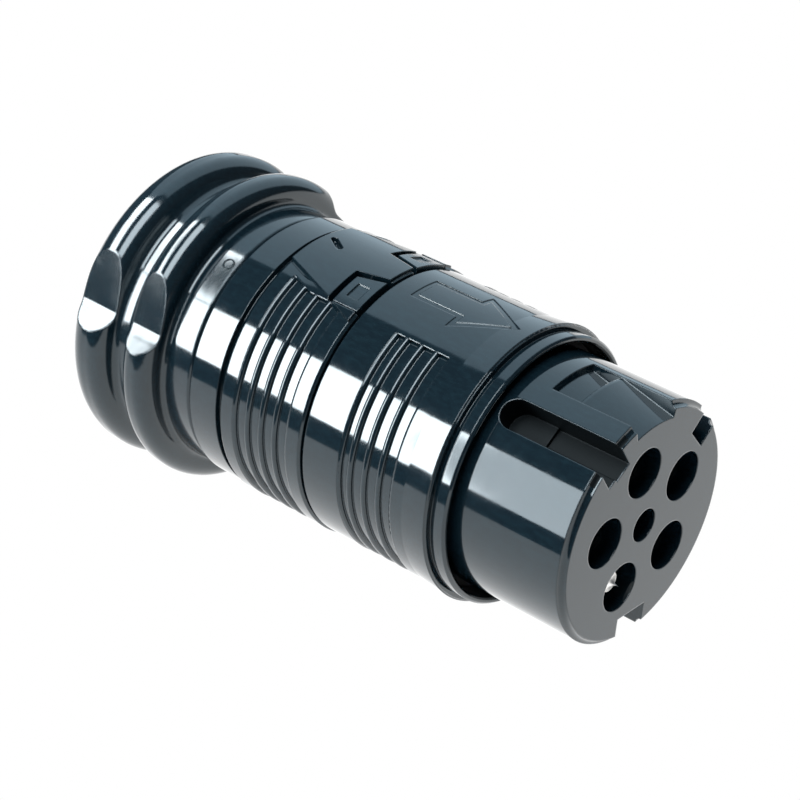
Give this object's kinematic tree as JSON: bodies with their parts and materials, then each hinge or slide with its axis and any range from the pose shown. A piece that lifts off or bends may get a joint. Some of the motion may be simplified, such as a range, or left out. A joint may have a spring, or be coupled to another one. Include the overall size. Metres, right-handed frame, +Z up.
{
  "type": "industrial cable coupler",
  "caption": "Round cable coupler with a socketed nose, a sliding grip sleeve, a ribbed housing with release buttons and a scalloped clamp nut.",
  "frame": {"origin": "centre of the mating face, on the coupler's axis", "axes": "+X along the axis out of the mating face, +Z up as the coupler lies on its side"},
  "size_m": [0.11, 0.0602, 0.0594],
  "materials": {
    "glass_filled_nylon": "moulded glass-filled nylon, polished tool, gloss",
    "housing_nylon": "moulded glass-filled nylon, gloss",
    "sleeve_nylon": "moulded glass-filled nylon, gloss",
    "nut_nylon": "moulded glass-filled nylon, gloss",
    "button_nylon": "moulded nylon, gloss",
    "retainer_nylon": "moulded nylon, matt",
    "cage_nylon": "natural nylon, matt",
    "silvered_brass": "turned brass, silver plated",
    "nickel_plate": "turned brass, bright nickel plated",
    "washer_brass": "stamped brass",
    "zinc_plated_steel": "zinc plated",
    "spring_steel": "drawn spring steel wire",
    "seal_rubber": "moulded nitrile rubber, matt"
  },
  "bodies": {
    "housing": {"rear_housing": "housing_nylon", "nose": "glass_filled_nylon", "line_contact_1": "silvered_brass", "line_contact_2": "silvered_brass", "line_contact_3": "silvered_brass", "neutral_contact": "silvered_brass", "earth_contact": "nickel_plate", "pilot_contact": "silvered_brass", "terminal_screws": "zinc_plated_steel", "contact_retainer": "retainer_nylon", "retainer_screws": "zinc_plated_steel", "core_ring": "seal_rubber", "snap_ring": "spring_steel", "nut_ring": "seal_rubber", "button_spring_left": "spring_steel", "button_spring_right": "spring_steel", "gland_seal": "seal_rubber", "clamp_cage": "cage_nylon"},
    "sleeve": {"front_sleeve": "sleeve_nylon", "mouth_seal": "seal_rubber"},
    "button_left": {"release_button_left": "button_nylon"},
    "button_right": {"release_button_right": "button_nylon"},
    "washer": {"thrust_washer": "washer_brass"},
    "nut": {"clamp_nut": "nut_nylon"}
  },
  "joints": [
    {"name": "sleeve_slide", "type": "slide", "parent": "housing", "child": "sleeve", "axis": [1, 0, 0], "range_m": [0, 0.005]},
    {"name": "left_button_press", "type": "slide", "parent": "housing", "child": "button_left", "axis": [0, 0.2538, -0.9673], "range_m": [0, 0.0012], "stiffness_N_per_m": 600, "springref_m": -0.001, "deforming": ["button_spring_left"]},
    {"name": "right_button_press", "type": "slide", "parent": "housing", "child": "button_right", "axis": [0, -0.3859, -0.9225], "range_m": [0, 0.0012], "stiffness_N_per_m": 600, "springref_m": -0.001, "deforming": ["button_spring_right"]},
    {"name": "gland_slide", "type": "slide", "parent": "housing", "child": "washer", "axis": [-1, 0, 0], "range_m": [0, 0.004]},
    {"name": "nut_spin", "type": "hinge", "parent": "washer", "child": "nut", "pos_m": [-0.1, 0, 0], "axis": [-1, 0, 0], "range_deg": [0, 720]}
  ],
  "couplings": [
    {"joint": "gland_slide", "follows": "nut_spin", "m_per_rad": 0.00031831}
  ]
}
